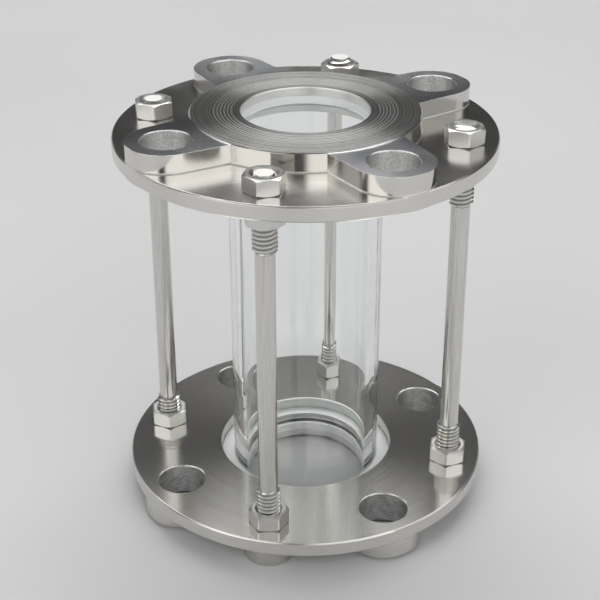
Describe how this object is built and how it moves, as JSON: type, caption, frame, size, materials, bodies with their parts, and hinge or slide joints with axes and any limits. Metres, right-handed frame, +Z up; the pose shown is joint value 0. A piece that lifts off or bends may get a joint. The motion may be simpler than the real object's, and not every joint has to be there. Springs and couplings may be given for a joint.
{
  "type": "flanged tubular sight glass",
  "caption": "Flanged sight glass: a clear tube clamped between two lugged pipe flanges by studs and nuts, so the flow can be seen from every side.",
  "frame": {"origin": "on the tube's axis, in the plane that the four feet stand on", "axes": "+Z up the tube's axis; the studs lie on the X and Y axes and the bolt holes on the diagonals"},
  "size_m": [0.123, 0.123, 0.1368],
  "materials": {
    "flange_steel": "stainless steel, polished plate and lug walls, turned rim and sealing face",
    "stud_steel": "bright drawn stainless steel with rolled threads",
    "nut_steel": "bright stainless steel",
    "foot_steel": "satin turned stainless steel",
    "clear_glass": "clear drawn borosilicate tube with melted ends",
    "white_seal": "smooth white fluoropolymer"
  },
  "bodies": {
    "root": {"upper_flange": "flange_steel", "lower_flange": "flange_steel", "glass_tube": "clear_glass", "upper_gasket": "white_seal", "lower_gasket": "white_seal", "stud_front": "stud_steel", "stud_right": "stud_steel", "stud_back": "stud_steel", "stud_left": "stud_steel", "top_nut_front": "nut_steel", "top_nut_right": "nut_steel", "top_nut_back": "nut_steel", "top_nut_left": "nut_steel", "upper_lock_nut_front": "nut_steel", "upper_lock_nut_right": "nut_steel", "upper_lock_nut_back": "nut_steel", "upper_lock_nut_left": "nut_steel", "lower_lock_nut_front": "nut_steel", "lower_lock_nut_right": "nut_steel", "lower_lock_nut_back": "nut_steel", "lower_lock_nut_left": "nut_steel", "foot_nut_front": "foot_steel", "foot_nut_right": "foot_steel", "foot_nut_back": "foot_steel", "foot_nut_left": "foot_steel"}
  },
  "joints": []
}
